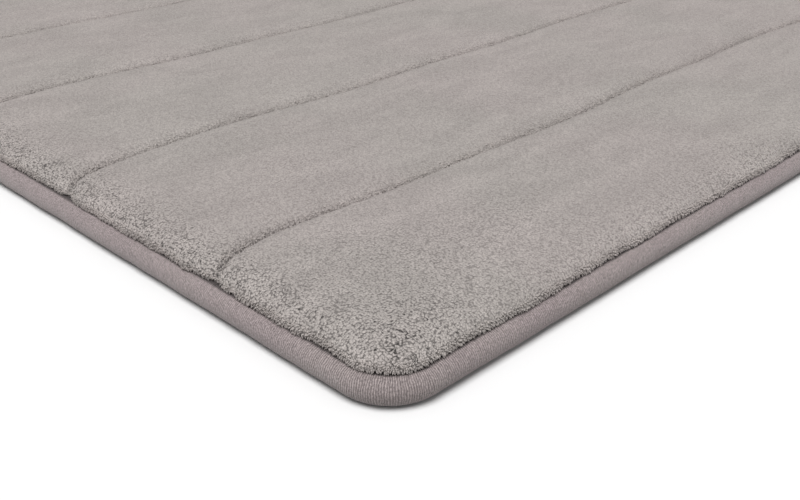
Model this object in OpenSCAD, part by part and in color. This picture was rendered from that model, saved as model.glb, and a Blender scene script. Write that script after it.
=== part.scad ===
// Quilted memory-foam bath mat: a plush cover over one foam sheet, stitched into padded strips,
// with a non-slip dotted backing and a knitted tape bound round the edge.
// Millimetres. The mat lies flat on the plane z = 0, centred on the origin, with its long side along X.

/* [Mat] */
// Length over the binding, along the stitched channels
mat_length = 800; // [500:10:1200]
// Width over the binding, across the channels
mat_width = 500; // [380:10:800]
// Outer radius of the four corners
corner_radius = 17; // [14:1:60]

/* [Quilting] */
// Number of padded strips side by side
strip_count = 6; // [4:1:8]
// Width of the flat floor of a stitched channel
channel_width = 3; // [2:0.5:8]
// How square the padded strips are: a low power is a round pillow, a high one a flat slab
pillow_power = 6; // [2:1:12]
// Diameter of the sewing thread
thread_diameter = 0.5; // [0.3:0.05:0.8]

/* [Foam core] */
// Thickness of the foam at the middle of a strip
foam_thickness = 9.4; // [6:0.2:16]
// Thickness that the foam is squeezed to under a seam
foam_pressed = 4; // [3:0.2:5.5]

/* [Plush cover] */
// Thickness of the cover, knitted ground and pile together, at the middle of a strip
cover_thickness = 3.6; // [2.4:0.1:8]
// Thickness that the cover is squeezed to under a seam
cover_pressed = 1.9; // [1:0.1:2.3]

/* [Backing] */
// Thickness of the backing cloth
backing_thickness = 0.9; // [0.5:0.1:2]
// Diameter of a grip dot where it meets the backing
dot_diameter = 3.2; // [2:0.1:5]
// Diameter of a grip dot where it meets the floor
dot_tip_diameter = 2.2; // [1:0.1:2.8]
// Distance between grip dots, along a row and from row to row
dot_pitch = 15; // [10:1:30]

/* [Edge binding] */
// Thickness of the knitted tape
binding_thickness = 1; // [0.8:0.1:1.6]
// How far the tape reaches in from the edge on the upper face
binding_top_leg = 6.5; // [5.5:0.5:12]
// How far the tape reaches in from the edge on the underside
binding_under_leg = 9; // [6:0.5:13]
// Distance of the binding seam from the tape's cut edges
seam_margin = 1.5; // [1:0.1:2.5]

/* [Hidden] */

$fn = 64;
layer_gap = 0.05;    // air between two layers that lie on each other
pillow_steps = 12;   // flat facets across one padded strip
dot_edge_gap = 1;    // least distance from a dot to the tape beside it
thread_sides = 8;

// Heights of the layers, from the floor up
backing_low = binding_thickness + layer_gap;
foam_low = backing_low + backing_thickness + layer_gap;
cover_low_pressed = foam_low + foam_pressed + layer_gap;
edge_height = cover_low_pressed + cover_pressed + layer_gap + binding_thickness;
edge_round = edge_height / 2;

// The padded body stands inside the upper fold of the tape, and the pressed edges reach into the fold
body_inset = binding_top_leg + layer_gap;
hollow_inset = body_inset + cover_pressed;
strip_pitch = mat_width / strip_count;
end_run = (strip_pitch - body_inset - channel_width / 2) / 2;

function channel_y(k) = -mat_width / 2 + k * strip_pitch;
function strip_start(i) = i == 0 ? -mat_width / 2 + body_inset : channel_y(i) + channel_width / 2;
function strip_end(i) =
    i == strip_count - 1 ? mat_width / 2 - body_inset : channel_y(i + 1) - channel_width / 2;

// Height of the pillow curve from 0 at its two seams, u = -1 and 1, to 1 at its middle
function pillow(u) = sqrt(max(0, 1 - pow(abs(u), pillow_power)));

// How far in a square-cut layer ends, so that both its faces clear the tape's round fold
function fold_inset(low, thickness) =
    let (furthest = max(edge_round - low, low + thickness - edge_round))
    edge_round - sqrt(pow(edge_round - binding_thickness, 2) - pow(furthest, 2)) + layer_gap;

// The upper surface across the strips, from seam height to crown height, as [y, z] points
function across_points(seam, crown) = [
    for (i = [0:strip_count - 1], s = [0:pillow_steps])
        let (
            u = sin(-90 + 180 * s / pillow_steps),
            middle = (strip_start(i) + strip_end(i)) / 2,
            half = (strip_end(i) - strip_start(i)) / 2
        )
        [middle + half * u, seam + (crown - seam) * pillow(u)]
];

// The upper surface along the mat: a pillow curve at each end and level between them, as [x, z] points
function along_points(seam, crown) = [
    for (side = [-1, 1], s = [0:pillow_steps / 2])
        let (
            turn = side < 0 ? 90 - 180 * s / pillow_steps : 180 * s / pillow_steps,
            u = sin(turn)
        )
        [side * (mat_length / 2 - body_inset - end_run * (1 - u)), seam + (crown - seam) * pillow(u)]
];

// The same points closed down to the floor, as an outline that can be extruded
function down_to_floor(points) = concat(
    points,
    [[points[len(points) - 1][0], 0], [points[0][0], 0]]
);

// The mat's rounded outline, set in from its outer edge
module outline(inset) {
    long = mat_length - 2 * inset;
    wide = mat_width - 2 * inset;
    radius = corner_radius - inset;
    square([long - 2 * radius, wide], center = true);
    square([long, wide - 2 * radius], center = true);
    for (x = [-1, 1], y = [-1, 1])
        translate([x * (long / 2 - radius), y * (wide / 2 - radius)]) circle(radius);
}

// A flat layer of the mat's outline
module layer(inset, low, thickness) {
    translate([0, 0, low]) linear_extrude(thickness) outline(inset);
}

// Everything under a quilted surface that rises from seam height to crown height
module quilted_block(inset, seam, crown) {
    intersection() {
        layer(inset, 0, crown + 1);
        rotate([90, 0, 90])
            linear_extrude(mat_length, center = true) polygon(down_to_floor(across_points(seam, crown)));
        rotate([90, 0, 0])
            linear_extrude(mat_width, center = true) polygon(down_to_floor(along_points(seam, crown)));
    }
}

// Everything below a height, wide enough to cut any layer
module below(height) {
    translate([-mat_length, -mat_width, -1]) cube([2 * mat_length, 2 * mat_width, height + 1]);
}

// Carries a section round the mat's outline: its x is the distance in from the outer edge, its y the height
module around_edge() {
    for (side = [0:3]) {
        out = side % 2 == 0 ? mat_length / 2 : mat_width / 2;
        run = (side % 2 == 0 ? mat_width : mat_length) - 2 * corner_radius;
        rotate(90 * side) translate([out, 0, 0]) mirror([1, 0, 0]) rotate([90, 0, 0])
            linear_extrude(run, center = true) children();
    }
    for (x = [-1, 1], y = [-1, 1])
        translate([x * (mat_length / 2 - corner_radius), y * (mat_width / 2 - corner_radius), 0])
            rotate(x > 0 ? (y > 0 ? 0 : -90) : (y > 0 ? 90 : 180))
                rotate_extrude(angle = 90) translate([corner_radius, 0]) mirror([1, 0]) children();
}

module thread_section() {
    rotate(180 / thread_sides) circle(d = thread_diameter, $fn = thread_sides);
}

// Foam sheet: thick and round in the strips, squeezed in the channels and where the tape holds it
module foam_core() {
    color("lightyellow") difference() {
        union() {
            quilted_block(hollow_inset + layer_gap, foam_low + foam_pressed, foam_low + foam_thickness);
            layer(fold_inset(foam_low, foam_pressed), foam_low, foam_pressed);
        }
        below(foam_low);
    }
}

// Plush cover: one cloth over the foam, with its pressed edge held in the tape's fold
module plush_cover() {
    crown = foam_low + foam_thickness + layer_gap + cover_thickness;
    color("rosybrown") difference() {
        union() {
            quilted_block(body_inset, cover_low_pressed + cover_pressed, crown);
            layer(fold_inset(cover_low_pressed, cover_pressed), cover_low_pressed, cover_pressed);
        }
        below(cover_low_pressed);
        quilted_block(hollow_inset, cover_low_pressed, foam_low + foam_thickness + layer_gap);
    }
}

// Non-slip backing cloth, flat under the foam
module backing_cloth() {
    color("dimgray") layer(fold_inset(backing_low, backing_thickness), backing_low, backing_thickness);
}

// Rubbery dots printed on the backing, in staggered rows that keep off the seams and the tape
module grip_dots() {
    keep_off = binding_under_leg + dot_edge_gap + dot_diameter / 2;
    row_steps = floor((strip_pitch - 2 * keep_off) / dot_pitch);
    column_steps = floor((mat_length - 2 * keep_off) / dot_pitch);
    color("gray") for (i = [0:strip_count - 1], row = [0:row_steps]) {
        y = channel_y(i + 0.5) + (row - row_steps / 2) * dot_pitch;
        skipped = (i + row) % 2;
        for (column = [0:column_steps - skipped])
            translate([(column - (column_steps - skipped) / 2) * dot_pitch, y, 0])
                cylinder(d1 = dot_tip_diameter, d2 = dot_diameter, h = backing_low);
    }
}

// Tape folded round the edge: a half round with two flat legs, and a groove where the lower seam sinks in
module edge_binding() {
    groove = thread_diameter + 2 * layer_gap;
    color("silver") around_edge() difference() {
        union() {
            intersection() {
                translate([edge_round, edge_round]) difference() {
                    circle(edge_round);
                    circle(edge_round - binding_thickness);
                }
                square([edge_round, edge_height]);
            }
            translate([edge_round, 0]) square([binding_under_leg - edge_round, binding_thickness]);
            translate([edge_round, edge_height - binding_thickness])
                square([binding_top_leg - edge_round, binding_thickness]);
        }
        translate([binding_under_leg - seam_margin - groove / 2, -1]) square([groove, groove + 1]);
    }
}

// Needle thread of the binding seam, lying on the tape's upper fold
module binding_top_thread() {
    color("gainsboro") around_edge()
        translate([binding_top_leg - seam_margin, edge_height + layer_gap + thread_diameter / 2])
            thread_section();
}

// Looper thread of the binding seam, sunk in the groove on the underside
module binding_under_thread() {
    color("gainsboro") around_edge()
        translate([binding_under_leg - seam_margin, layer_gap + thread_diameter / 2]) thread_section();
}

// A straight thread along channel k at a height, ending clear of the tape
module channel_thread(k, height, leg) {
    translate([0, channel_y(k), height]) rotate([90, 0, 90])
        linear_extrude(mat_length - 2 * (leg + layer_gap), center = true) thread_section();
}

// Needle thread of a quilting seam, on the floor of its channel
module quilt_top_thread(k) {
    floor_height = cover_low_pressed + cover_pressed;
    color("gainsboro") channel_thread(k, floor_height + layer_gap + thread_diameter / 2, binding_top_leg);
}

// Bobbin thread of a quilting seam, under the backing
module quilt_under_thread(k) {
    color("gainsboro") channel_thread(k, backing_low - layer_gap - thread_diameter / 2, binding_under_leg);
}

plush_cover();
foam_core();
backing_cloth();
grip_dots();
edge_binding();
binding_top_thread();
binding_under_thread();
for (k = [1:strip_count - 1]) {
    quilt_top_thread(k);
    quilt_under_thread(k);
}
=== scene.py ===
# %% [markdown]
# # A quilted bath mat
#
# The mat is a sandwich. A short plush cover lies over one sheet of memory foam, lines of stitching
# press the two together into padded strips, a coated cloth with rubber dots closes the underside, and a
# knitted tape is folded round the edge. The design model already holds the size and the place of each
# layer, so this script only gives the layers their soft shapes and their finishes.

# %% Tools
import math
from collections import namedtuple

import bpy
import numpy as np
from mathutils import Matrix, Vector


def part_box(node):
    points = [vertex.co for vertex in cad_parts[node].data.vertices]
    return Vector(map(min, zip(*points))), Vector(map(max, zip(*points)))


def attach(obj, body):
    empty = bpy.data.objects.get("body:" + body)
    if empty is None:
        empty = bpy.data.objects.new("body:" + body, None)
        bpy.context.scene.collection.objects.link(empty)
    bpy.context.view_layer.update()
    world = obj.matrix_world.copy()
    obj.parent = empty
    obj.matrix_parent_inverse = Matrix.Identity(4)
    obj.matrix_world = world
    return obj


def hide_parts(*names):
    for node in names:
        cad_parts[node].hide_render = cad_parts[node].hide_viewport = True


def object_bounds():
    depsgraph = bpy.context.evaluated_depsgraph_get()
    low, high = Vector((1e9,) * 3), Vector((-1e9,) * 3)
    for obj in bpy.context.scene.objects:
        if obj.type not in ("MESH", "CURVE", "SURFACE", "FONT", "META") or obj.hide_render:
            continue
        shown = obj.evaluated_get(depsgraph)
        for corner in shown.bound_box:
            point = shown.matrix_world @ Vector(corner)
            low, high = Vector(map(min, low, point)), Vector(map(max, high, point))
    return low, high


MM = 0.001
SIDES = 4

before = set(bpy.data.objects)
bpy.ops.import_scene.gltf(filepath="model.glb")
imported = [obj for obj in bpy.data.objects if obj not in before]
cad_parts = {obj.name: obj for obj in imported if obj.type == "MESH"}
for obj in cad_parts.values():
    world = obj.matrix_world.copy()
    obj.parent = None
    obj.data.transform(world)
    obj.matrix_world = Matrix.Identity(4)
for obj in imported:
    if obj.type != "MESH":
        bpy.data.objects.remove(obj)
cad_low, cad_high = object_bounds()
print("layers in the design:", sorted(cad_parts))

# %% [markdown]
# ## What the design model tells us
#
# Every length that has to agree with the design is measured on it: the outline and height of the edge
# tape, its corner radius, the crown of the padded strips, the lines of the stitching and the planes of
# the layers. A value that is only a matter of looks is named where it is first used.

# %% Measures
def node_points(node):
    """The points of one layer of the design, as an (n, 3) array."""
    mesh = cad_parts[node].data
    points = np.zeros(len(mesh.vertices) * 3, np.float32)
    mesh.vertices.foreach_get("co", points)
    return points.reshape(-1, 3).astype(float)


_, tape_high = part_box("edge_binding")
_, pile_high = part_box("plush_cover")
foam_low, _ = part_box("foam_core")
backing_low, backing_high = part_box("backing_cloth")
top_seam_low, top_seam_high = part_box("binding_top_thread")
_, under_seam_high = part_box("binding_under_thread")

half_length = tape_high.x
half_width = tape_high.y
edge_height = tape_high.z
crown_height = pile_high.z
thread_diameter = top_seam_high.z - top_seam_low.z

design_tape = node_points("edge_binding")
on_long_side = design_tape[:, 1] > half_width - 0.01 * MM
corner_radius = half_length - design_tape[on_long_side, 0].max()

quilt_tops = sorted(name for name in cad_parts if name.startswith("quilt_top_thread"))
quilt_unders = sorted(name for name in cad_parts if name.startswith("quilt_under_thread"))
quilt_boxes = [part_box(name) for name in quilt_tops]
channel_lines = np.array([(low.y + high.y) / 2 for low, high in quilt_boxes])
strip_width = np.diff(channel_lines).mean()
print(f"mat {2 * half_length:.3f} by {2 * half_width:.3f} m, corners {corner_radius / MM:.1f} mm round,",
      f"edge {edge_height / MM:.1f} mm, crown {crown_height / MM:.1f} mm, {len(channel_lines)} channels")

# %% [markdown]
# ## The camera
#
# A close three-quarter view of one corner, from just above it. Placing the camera first keeps every
# later choice honest: detail that it can't see at this distance isn't worth building.

# %% Camera
LENS = 45.66
CAMERA_FROM_CORNER = Vector((-131.65, -134.87, 145.76)) * MM
CAMERA_TILT_DOWN = math.radians(27.54)
CAMERA_TURN = math.radians(-45.06)

camera = bpy.data.objects.new("camera", bpy.data.cameras.new("camera"))
bpy.context.scene.collection.objects.link(camera)
camera.data.lens = LENS
camera.data.clip_start = 1 * MM
camera.location = Vector((-half_length, -half_width, 0)) + CAMERA_FROM_CORNER
camera.rotation_euler = (math.pi / 2 - CAMERA_TILT_DOWN, 0, CAMERA_TURN)
bpy.context.scene.camera = camera

# %% [markdown]
# ## Surfaces from arrays
#
# All the soft shapes here are grids of points worked out as whole arrays, so the first helper turns an
# array of points and arrays of faces into a mesh. Faces are listed anticlockwise as seen from outside,
# which is how Blender knows the outside of a surface.

# %% Mesh helpers
def build_mesh(name, points, quads, triangles=None):
    """A mesh object from an (n, 3) array of points and arrays of four-sided and three-sided faces."""
    faces = [quads] if triangles is None else [quads, triangles]
    corners = np.concatenate([face.ravel() for face in faces]).astype(np.int32)
    sizes = np.concatenate([np.full(len(face), face.shape[1]) for face in faces])
    mesh = bpy.data.meshes.new(name)
    mesh.vertices.add(len(points))
    mesh.vertices.foreach_set("co", points.astype(np.float32).ravel())
    mesh.loops.add(len(corners))
    mesh.loops.foreach_set("vertex_index", corners)
    mesh.polygons.add(len(sizes))
    mesh.polygons.foreach_set("loop_start", (np.cumsum(sizes) - sizes).astype(np.int32))
    mesh.update(calc_edges=True)
    mesh.validate()
    mesh.shade_smooth()
    piece = bpy.data.objects.new(name, mesh)
    bpy.context.scene.collection.objects.link(piece)
    print(f"{name}: {len(points)} points, {len(sizes)} faces")
    return piece


def points_from(*columns):
    """(n, 3) points from one, two or three columns of coordinates; a coordinate left out is 0."""
    points = np.zeros((len(columns[0]), 3))
    points[:, :len(columns)] = np.column_stack(columns)
    return points


def stand_for(piece, node):
    """Says what a piece is: it rides on the mat's one body, and it replaces one layer of the design."""
    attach(piece, "root")
    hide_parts(node)


def grid_quads(rows, columns, closed=False):
    """Faces of a grid of rows by columns of points; a closed grid joins its last column to its first."""
    index = np.arange(rows * columns).reshape(rows, columns)
    if closed:
        index = np.hstack([index, index[:, :1]])
    corners = [index[:-1, :-1], index[:-1, 1:], index[1:, 1:], index[1:, :-1]]
    return np.stack(corners, axis=-1).reshape(-1, 4)

# %% [markdown]
# ## Walking round the mat
#
# Everything near the edge follows the same rounded rectangle. It is easiest to walk round its *core*,
# the sharp rectangle through the centres of the four corner arcs: a point at any distance in from the
# edge is a core point plus a step in the outward direction. On the corners the core point stands still
# while the direction turns a quarter.

# %% The outline
Walk = namedtuple("Walk", "core outward radius walked place")


def walk_outline(spacing, inset):
    """Points about `spacing` apart round a line that lies `inset` in from the mat's edge.

    Gives the core points, the outward directions, the radius of the corners, the distance walked, and
    each point's place from 0 to 4, which rises by one along each side and stays whole on the corners."""
    radius = corner_radius - inset
    core = np.array([half_length, half_width]) - corner_radius
    corners = np.array([[-1, -1], [1, -1], [1, 1], [-1, 1]]) * core
    runs = np.tile([2 * core[0], radius * math.pi / 2, 2 * core[1], radius * math.pi / 2], 2)
    starts = np.append(0, np.cumsum(runs))
    count = int(round(starts[-1] / spacing))
    walked = np.arange(count) / count * starts[-1]
    piece = np.searchsorted(starts, walked, side="right") - 1
    share = (walked - starts[piece]) / runs[piece]
    side, turning = piece // 2, piece % 2 == 1
    angle = (side - 1 + np.where(turning, share, 0)) * math.pi / 2
    place = side + np.where(turning, 1, share)
    moved = np.where(turning, 1, share)[:, None]
    middle = corners[side] * (1 - moved) + corners[(side + 1) % SIDES] * moved
    return Walk(middle, np.stack([np.cos(angle), np.sin(angle)], axis=1), radius, walked, place)


def ring_at(walk, inset, height):
    """A ring of points that lies `inset` in from the walked line: core point plus outward direction times
    what is left of the radius. The inset and the height are one number or one for each point."""
    flat = walk.core + walk.outward * np.broadcast_to(walk.radius - inset, len(walk.core))[:, None]
    return np.column_stack([flat, np.broadcast_to(height, len(flat))])

# %% [markdown]
# ## A closed pad
#
# The cover, the foam and the backing are all thin pads with a worked rim. Rings of points follow the
# outline from the inner border of the underside, round the rim, to the inner border of the top, and the
# two wide faces are rectangular grids. A ring has many more points than a grid's border, so the two are
# zipped together with triangles.

# %% Pads
def grid_border(rows, columns):
    """Indices round the border of a grid of points, anticlockwise from its first point."""
    index = np.arange(rows * columns).reshape(rows, columns)
    return np.concatenate([index[0, :-1], index[:-1, -1], index[-1, :0:-1], index[:0:-1, 0]])


def border_place(grid):
    """The place from 0 to 4 of each point of grid_border, by its share of the way along its side."""
    flat = grid[..., :2]
    x, y = np.moveaxis((flat - flat[0, 0]) / (flat[-1, -1] - flat[0, 0]), -1, 0)
    return np.concatenate([x[0, :-1], 1 + y[:-1, -1], 3 - x[-1, :0:-1], 4 - y[:0:-1, 0]])


def zip_rings(outer, outer_place, inner, inner_place):
    """Triangles between two rings with different spacing. Each edge is joined to the point that the
    other ring has reached at the edge's end, and at a corner the inner ring arrives first."""
    outer_end = np.append(outer_place[1:], SIDES)
    inner_end = np.append(inner_place[1:], SIDES)
    inner_reached = np.append(inner, inner[0])[np.searchsorted(inner_end, outer_end, side="right")]
    outer_reached = np.append(outer, outer[0])[np.searchsorted(outer_end, inner_end, side="left")]
    return np.concatenate([
        np.stack([outer, np.roll(outer, -1), inner_reached], axis=1),
        np.stack([np.roll(inner, -1), inner, outer_reached], axis=1),
    ])


def closed_pad(name, rings, place, top, bottom):
    """A closed pad. `rings` is (r, n, 3), from the underside's inner border round the rim to the top's
    inner border. `top` and `bottom` are the two wide faces, (rows, columns, 3)."""
    ring_count, ring_size = rings.shape[:2]
    points, quads, triangles = [rings.reshape(-1, 3)], [grid_quads(ring_count, ring_size, True)], []
    start = ring_count * ring_size
    for grid, ring, turn in ((top, ring_count - 1, 1), (bottom, 0, -1)):
        faces = grid_quads(*grid.shape[:2]) + start
        border = grid_border(*grid.shape[:2]) + start
        zipped = zip_rings(np.arange(ring_size) + ring * ring_size, place, border, border_place(grid))
        points.append(grid.reshape(-1, 3))
        quads.append(faces[:, ::turn])
        triangles.append(zipped[:, ::turn])
        start += grid.shape[0] * grid.shape[1]
    return build_mesh(name, np.concatenate(points), np.concatenate(quads), np.concatenate(triangles))

# %% [markdown]
# ## Repeatable randomness
#
# Cloth is never perfectly even. Two kinds of randomness cover all of it: smooth noise for slow swells and
# drifts, and packed bumps for the tufts of the pile. Both start from a number that is worked out from
# each cell's own whole-number address, so every run gives the same mat.

# %% Noise
def cell_random(cells, seed):
    """A repeatable number from 0 to 1 for each whole-number cell: its address is multiplied by large
    primes and its bits are folded over each other."""
    x, y, z = np.moveaxis(cells.astype(np.int64), -1, 0)
    mixed = (x * 73856093 ^ y * 19349663 ^ z * 83492791 ^ seed * 15485863) & 0xFFFFFFFF
    mixed = ((mixed ^ mixed >> 15) * 2246822519) & 0xFFFFFFFF
    mixed = ((mixed ^ mixed >> 13) * 3266489917) & 0xFFFFFFFF
    return (mixed ^ mixed >> 16) / 0xFFFFFFFF


def smooth_noise(points, size, seed):
    """From -1 to 1: random values at the corners of cubes of that size, eased from corner to corner."""
    cell = np.floor(points / size)
    share = points / size - cell
    share = share * share * (3 - 2 * share)
    total = np.zeros(len(points))
    for corner in np.ndindex(2, 2, 2):
        weight = np.prod(np.where(corner, share, 1 - share), axis=-1)
        total += weight * cell_random(cell + corner, seed)
    return 2 * total - 1


def packed_bumps(points, size, seed):
    """Domes packed side by side: each cube of that size has one centre at random, and the height falls
    from 1 at the nearest centre with the square of the distance."""
    cell = np.floor(points / size)
    nearest = np.full(len(points), 9.0)
    for step in np.ndindex(3, 3, 3):
        neighbour = cell + step - 1
        centre = neighbour + np.stack([cell_random(neighbour, seed + axis) for axis in range(3)], axis=-1)
        nearest = np.minimum(nearest, ((points / size - centre) ** 2).sum(axis=-1))
    return 1 - nearest

# %% [markdown]
# ## The lines of the channels
#
# The seams are sewn straight, but the cloth relaxes: a channel wanders a few millimetres to either side,
# and over its last centimetres it is dragged sideways where the tape pulls the cover in. To shape the
# strips on wandering channels, each point is given a *strip place*: the place across the mat that it
# would have if all channels were still straight. Profiles are then plain functions of that place.

# %% Channels
LEAN = np.array([-4.4, -5.4, -5.2, -4.0, -3.0]) * MM
LONG_WAVE, LONG_WAVE_HEIGHT = 290 * MM, np.array([2.3, 1.3, 1.5, 1.0, 1.2]) * MM
SHORT_WAVE, SHORT_WAVE_HEIGHT = 97 * MM, 0.6 * MM
DRAG_AT_END = np.array([13.0, 14.0, 11.0, 8.0, 5.0]) * MM
DRAG_LENGTH = 14 * MM


def channel_drift(x):
    """How far each channel has wandered at each x: a constant lean, a long and a short wave, and a drag
    that grows exponentially towards both short sides."""
    turn = 2 * math.pi * (x + half_length)
    line = np.arange(len(channel_lines))[:, None]
    drift = LEAN[:, None] + LONG_WAVE_HEIGHT[:, None] * np.cos(turn / LONG_WAVE - 0.4 * line)
    drift = drift + SHORT_WAVE_HEIGHT * np.sin(turn / SHORT_WAVE + 2.2 * line)
    drag = DRAG_AT_END[:, None]
    drift -= drag * np.exp(-(half_length + x) / DRAG_LENGTH)
    return drift + drag * 0.6 * np.exp(-(half_length - x) / DRAG_LENGTH)


def shared_drift(place, drift):
    """The drift at each strip place: a channel's own on the channel, shared out evenly between one channel
    and the next, and nothing from the corner arcs outwards."""
    reach = half_width - corner_radius
    knots = np.concatenate([[-reach], channel_lines, [reach]])
    shares = [np.interp(place, knots, row) for row in np.eye(len(knots))[1:-1]]
    return sum(share * moved for share, moved in zip(shares, drift))


def strip_place(x, y):
    """The place across the mat with the channels' drift taken off, found by trying and correcting."""
    drift = channel_drift(x)
    place = y
    for _ in range(6):
        place = y - shared_drift(place, drift)
    return place

# %% [markdown]
# ## The padded surface
#
# Seen from the side, the cover rises from the tape in a tight rounded lip, turns over a shoulder and
# runs almost level to the next channel, where it dips into a narrow crease whose two sides nearly touch.
# One rounded profile, a quarter of a superellipse, serves both the edge and the channels. The dips are
# added like the sides of a right triangle, so that they merge softly where a channel meets the edge.

# %% Heights
LIP_INSET = 3.6 * MM
LIP_HEIGHT = edge_height + 1.05 * MM
EDGE_SHOULDER = 14 * MM
CHANNEL_SHOULDER = 9 * MM
CHANNEL_DEPTH = 4.6 * MM
SHOULDER_POWER = 2.3
STRIP_FALL = 0.5 * MM
SWELL, SWELL_WIDTH = 0.35 * MM, 55 * MM


def rounded_rise(share):
    """From 0 to 1 along a quarter superellipse: steep at first, then level."""
    left = 1 - np.clip(share, 0, 1)
    return (1 - left ** SHOULDER_POWER) ** (1 / SHOULDER_POWER)


def ramp(distance, width):
    """From 0 to 1, evenly over the width: 0 before the distance starts and 1 beyond the width."""
    return np.clip(distance / width, 0, 1)


def edge_distance(x, y, inset):
    """How far a point lies inside the rounded outline that is `inset` in from the mat's edge."""
    beyond_x = np.abs(x) - (half_length - corner_radius)
    beyond_y = np.abs(y) - (half_width - corner_radius)
    outside = np.hypot(np.maximum(beyond_x, 0), np.maximum(beyond_y, 0))
    return corner_radius - inset - outside - np.minimum(np.maximum(beyond_x, beyond_y), 0)


def corner_distance(x, y):
    """Distance from the sharp corner that the nearest rounded corner replaces."""
    return np.hypot(half_length - np.abs(x), half_width - np.abs(y))


def channel_distance(x, y):
    """Distance from each point to the nearest channel, measured across the mat."""
    return np.abs(strip_place(x, y)[:, None] - channel_lines).min(axis=1)


def padded_height(x, y):
    """Height of the cover's surface: the crown less the dips of the edge and the channel, with a slow
    swell and a slight fall from the middle of each strip to its sides."""
    edge = rounded_rise(edge_distance(x, y, LIP_INSET) / EDGE_SHOULDER)
    beside_channel = channel_distance(x, y)
    edge_dip = (crown_height - LIP_HEIGHT) * (1 - edge)
    channel_dip = CHANNEL_DEPTH * (1 - rounded_rise(beside_channel / CHANNEL_SHOULDER))
    dip = np.hypot(edge_dip, channel_dip * (0.35 + 0.65 * edge))
    slow = SWELL * edge * smooth_noise(points_from(x, y), SWELL_WIDTH, 11)
    off_middle = 1 - ramp(beside_channel, strip_width / 2)
    return crown_height - dip + slow - STRIP_FALL * off_middle ** 2

# %% [markdown]
# ## The plush cover
#
# The cover's outline isn't a clean line: between channels the pile bulges out over the tape, and at each
# channel's end the seam pulls it in. The rim is a list of rings, each with a distance in from the lip and
# a height. They start inside the tape's seam, pass over the hidden thread, hook down onto the tape, swell
# out into the lip and climb the shoulder.

# %% Cover rim
COVER_CLOTH = 3.4 * MM
RIM_SPACING = 0.85 * MM
RIM_HOOK = np.array([
    (3.3, -1.05), (3.2, 0.2), (2.4, 0.75), (1.4, 0.8), (0.9, 0.5), (0.5, 0.42), (0.2, 0.5), (0.04, 0.75),
]) * MM
SHOULDER_RINGS = 17
INNER_RING = 6 * MM
WAVES_FADE = 8 * MM
END_PULL, END_PULL_WIDTH = 1.3, 3.5 * MM


def lip_wave(x, y, walked):
    """How far the lip lies in from its usual place: slow waves, and a bell-shaped pull at the channels'
    ends."""
    position = points_from(walked)
    waves = 0.45 * smooth_noise(position, 17 * MM, 21) + 0.25 * smooth_noise(position, 6 * MM, 22)
    at_end = np.abs(x) > half_length - corner_radius
    pull = END_PULL * np.exp(-(channel_distance(x, y) / END_PULL_WIDTH) ** 2) * at_end
    return (waves + pull) * MM


def cover_underside(x, y):
    """The cover's cloth is equally thick everywhere."""
    return padded_height(x, y) - COVER_CLOTH


def cover_rim():
    """The rings of the cover's rim, and their places round the outline. The lip's waves fade inwards."""
    walk = walk_outline(RIM_SPACING, LIP_INSET)
    lip_x, lip_y, _ = ring_at(walk, 0, 0).T
    wave = lip_wave(lip_x, lip_y, walk.walked)
    angle = np.linspace(0, math.pi / 2, SHOULDER_RINGS + 3)[:-3]
    depths = EDGE_SHOULDER * (1 - np.cos(angle) ** (2 / SHOULDER_POWER))
    depths = depths[depths < walk.radius - 1 * MM]

    def ring(depth, height):
        return ring_at(walk, depth + wave * (1 - ramp(depth, WAVES_FADE)), height)

    def ring_on(height_at, depth):
        x, y, _ = ring_at(walk, depth, 0).T
        return ring(depth, height_at(x, y))

    rings = [ring_on(cover_underside, depth) for depth in (depths[-1], INNER_RING)]
    rings += [ring(depth, edge_height + rise) for depth, rise in RIM_HOOK]
    rings += [ring_on(padded_height, depth) for depth in depths]
    return np.array(rings), walk.place

# %% [markdown]
# The wide face is a grid whose lines follow the channels. Its lines crowd together at each crease, where
# the surface turns sharply, and spread out in the middle of the strips.

# %% Cover mesh
STEPS_PER_STRIP = 34
ALONG_SPACING = 1.4 * MM
COARSE_STEPS, COARSE_SPACING = 8, 8 * MM


def crowd_to_ends(start, end, steps):
    """Places from start to end that crowd towards both ends, as a sine does; the end itself is left out."""
    return (start + end) / 2 + (end - start) / 2 * np.sin(math.pi * (np.arange(steps) / steps - 0.5))


def wide_face(steps_per_strip, along_spacing, height_at):
    """The points of a wide face inside the corner arcs. Its rows follow the channels, and `height_at` gives
    its height from x and y."""
    reach_x, reach_y = half_length - corner_radius, half_width - corner_radius
    ends = np.concatenate([[-reach_y], channel_lines, [reach_y]])
    across = [crowd_to_ends(*pair, steps_per_strip) for pair in zip(ends[:-1], ends[1:])]
    along = np.linspace(-reach_x, reach_x, int(2 * reach_x / along_spacing))
    grid = np.meshgrid(along, np.append(np.concatenate(across), reach_y))
    x, place = (values.ravel() for values in grid)
    y = place + shared_drift(place, channel_drift(x))
    points = np.column_stack([x, y, np.broadcast_to(height_at(x, y), len(x))])
    return points.reshape(*grid[0].shape, 3)


rim, rim_place = cover_rim()
cover_top = wide_face(STEPS_PER_STRIP, ALONG_SPACING, padded_height)
cover_bottom = wide_face(COARSE_STEPS, COARSE_SPACING, cover_underside)
cover = closed_pad("plush_pile", rim, rim_place, cover_top, cover_bottom)

# %% [markdown]
# ## Tufts
#
# Microfibre pile stands in clumps. Towards the edges and above all at the corners the clumps part and
# dark gaps show between them; in the middle of a strip they close up into a smooth velvet. Strands of
# hair could be grown on the cover, but this pile is so short and dense that only its clumps are seen, so
# they are pushed out of the surface. The surface gets an *openness* between 0 and 1, which sets how far
# the clumps stand out in the mesh and is stored on it so that the finish can use it too.

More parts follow.
